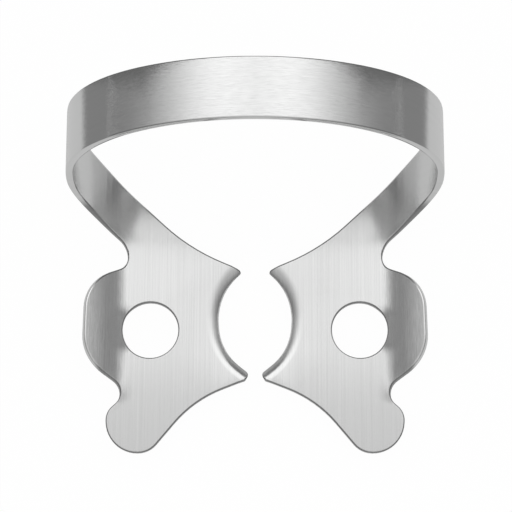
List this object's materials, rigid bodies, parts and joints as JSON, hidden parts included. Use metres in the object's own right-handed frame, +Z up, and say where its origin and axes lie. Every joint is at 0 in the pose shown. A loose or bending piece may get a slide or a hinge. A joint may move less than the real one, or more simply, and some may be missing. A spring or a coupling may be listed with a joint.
{
  "type": "rubber dam clamp",
  "caption": "Winged rubber dam clamp: two flat jaws with forceps holes, raised side wings, a pronged bite edge and a high spring bow, stamped and folded from one steel sheet.",
  "frame": {"origin": "on the surface the clamp stands on, under the middle of its bounding box, on the symmetry plane", "axes": "+X across the clamp from one jaw to the other, +Y along the jaws towards the bow, +Z up to the top of the bow"},
  "size_m": [0.0264, 0.0236, 0.0169],
  "materials": {
    "steel": "brushed stainless spring steel with tumbled edges"
  },
  "bodies": {
    "root": {"clamp": "steel"}
  },
  "joints": []
}
